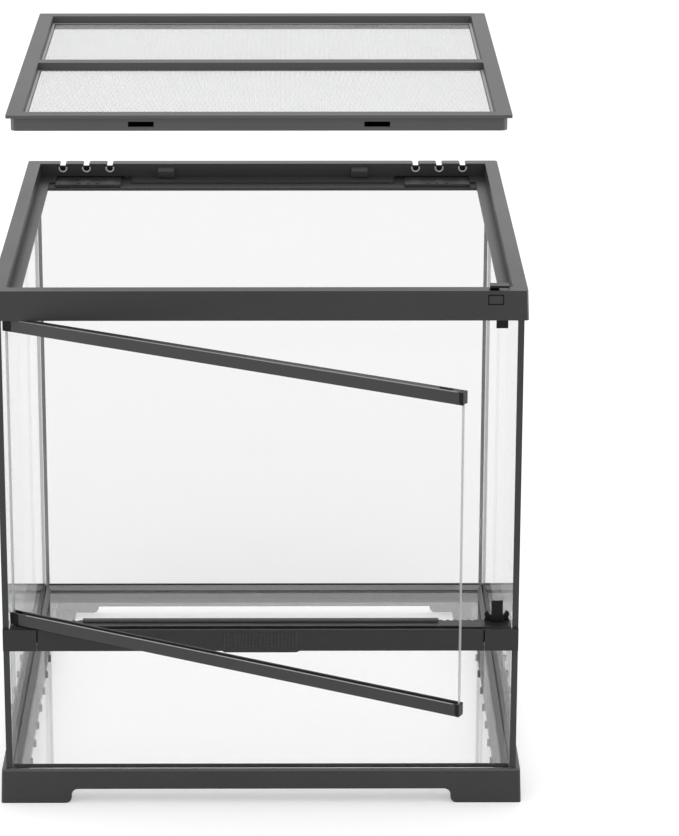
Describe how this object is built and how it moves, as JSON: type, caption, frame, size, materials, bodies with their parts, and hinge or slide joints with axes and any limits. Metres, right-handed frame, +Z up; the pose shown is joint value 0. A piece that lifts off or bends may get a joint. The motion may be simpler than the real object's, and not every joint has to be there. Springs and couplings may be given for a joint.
{
  "type": "hamster cage",
  "caption": "Clear glass hamster cage with a side-hinged front door, plastic top frame and plinth, cable inlets and a lift-off screen lid.",
  "frame": {"origin": "on the floor, under the middle of the whole object's box with the door ajar and the lid raised", "axes": "+X to the right seen from the front, +Y to the rear, +Z up"},
  "size_m": [0.4546, 0.6498, 0.6123],
  "materials": {
    "grey_plastic": "satin moulded charcoal plastic with a fine texture",
    "black_plastic": "satin black plastic",
    "clear_glass": "clear float glass with faintly green edges",
    "silicone": "smooth black silicone sealant",
    "screen_mesh": "fine woven wire screen, light grey"
  },
  "bodies": {
    "cabinet": {"base_frame": "grey_plastic", "vent_rail": "grey_plastic", "vent_fascia": "grey_plastic", "vent_cover": "grey_plastic", "top_frame": "grey_plastic", "bottom_glass": "clear_glass", "rear_glass": "clear_glass", "front_lower_glass": "clear_glass", "left_glass": "clear_glass", "right_glass": "clear_glass", "silicone_rear_left": "silicone", "silicone_rear_right": "silicone", "silicone_front_left": "silicone", "silicone_front_right": "silicone", "silicone_floor": "silicone", "left_edge_trim": "grey_plastic", "right_edge_trim": "grey_plastic", "lid_hook_left": "grey_plastic", "lid_hook_right": "grey_plastic", "upper_catch_base": "black_plastic", "lower_catch_base": "black_plastic"},
    "door": {"door_glass": "clear_glass", "door_top_rail": "grey_plastic", "door_bottom_rail": "grey_plastic", "hinge_shoe_upper": "black_plastic", "hinge_shoe_lower": "black_plastic", "door_end_cap_upper": "black_plastic", "door_end_cap_lower": "black_plastic"},
    "lid": {"lid_frame": "grey_plastic", "lid_screen_front": "screen_mesh", "lid_screen_rear": "screen_mesh"},
    "lock_bolt": {"door_lock_bolt": "black_plastic"},
    "upper_catch": {"upper_catch_tongue": "black_plastic"},
    "lower_catch": {"lower_catch_tongue": "black_plastic"},
    "left_shutter": {"cable_slider_left": "grey_plastic"},
    "right_shutter": {"cable_slider_right": "grey_plastic"}
  },
  "joints": [
    {"name": "door_hinge", "type": "hinge", "parent": "cabinet", "child": "door", "pos_m": [-0.209, -0.11943, 0.302], "axis": [0, 0, -1], "range_deg": [-28.5, 70]},
    {"name": "lid_lift", "type": "slide", "parent": "cabinet", "child": "lid", "axis": [0, 0, 1], "range_m": [-0.1457, 0.05]},
    {"name": "door_lock", "type": "slide", "parent": "cabinet", "child": "lock_bolt", "axis": [0, 0, 1], "range_m": [-0.003, 0]},
    {"name": "upper_catch_flex", "type": "hinge", "parent": "cabinet", "child": "upper_catch", "pos_m": [0.2044, -0.11413, 0.444], "axis": [1, 0, 0], "range_deg": [0, 8], "stiffness_Nm_per_rad": 0.05},
    {"name": "lower_catch_flex", "type": "hinge", "parent": "cabinet", "child": "lower_catch", "pos_m": [0.2044, -0.11413, 0.1661], "axis": [-1, 0, 0], "range_deg": [0, 8], "stiffness_Nm_per_rad": 0.05},
    {"name": "left_shutter_slide", "type": "slide", "parent": "cabinet", "child": "left_shutter", "axis": [1, 0, 0], "range_m": [0, 0.0095]},
    {"name": "right_shutter_slide", "type": "slide", "parent": "cabinet", "child": "right_shutter", "axis": [-1, 0, 0], "range_m": [0, 0.0095]}
  ]
}
